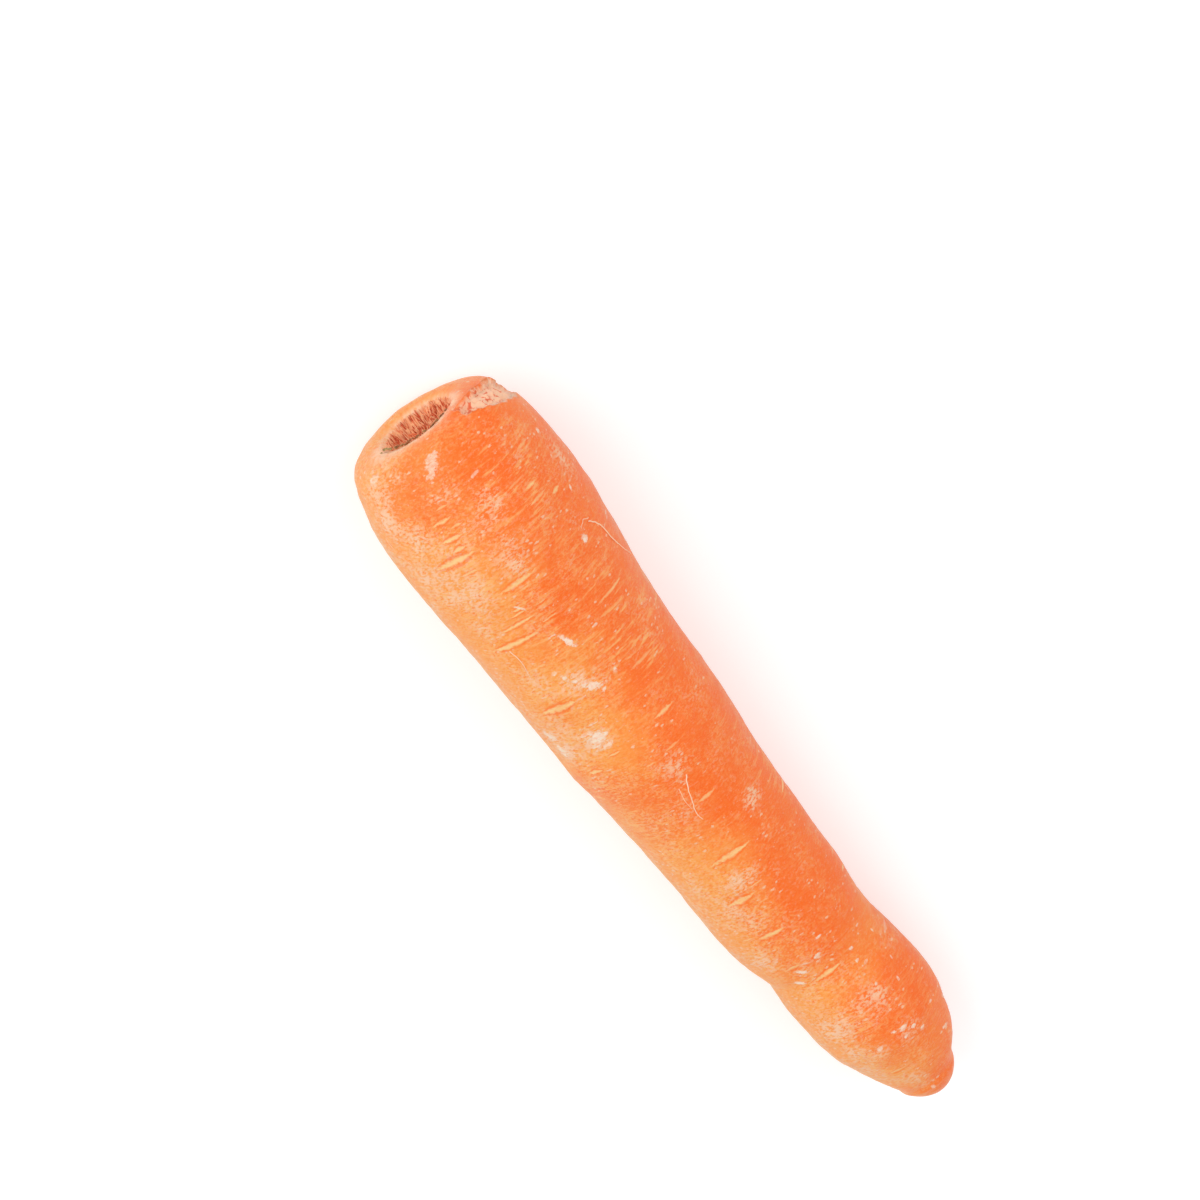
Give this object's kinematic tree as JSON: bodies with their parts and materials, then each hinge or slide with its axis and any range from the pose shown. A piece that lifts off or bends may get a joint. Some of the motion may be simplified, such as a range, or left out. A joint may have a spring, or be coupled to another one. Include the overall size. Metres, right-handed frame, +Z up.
{
  "type": "carrot",
  "caption": "Whole topped carrot root lying on its side: a tapering orange taproot with a hollow crown scar, a torn patch on the collar, a narrow waist near the end and a small blunt tip.",
  "frame": {"origin": "centre of the bounding box's bottom face, on the surface that the carrot lies on", "axes": "+X runs from the crown to the tip, +Z is up, and +Y is the side that the end of the root bends towards"},
  "size_m": [0.192, 0.0414, 0.041],
  "materials": {
    "carrot_skin": "satin, washed and partly dried root skin, orange with pale scars and a brown crown scar"
  },
  "bodies": {
    "root": {"carrot_root": "carrot_skin"}
  },
  "joints": []
}
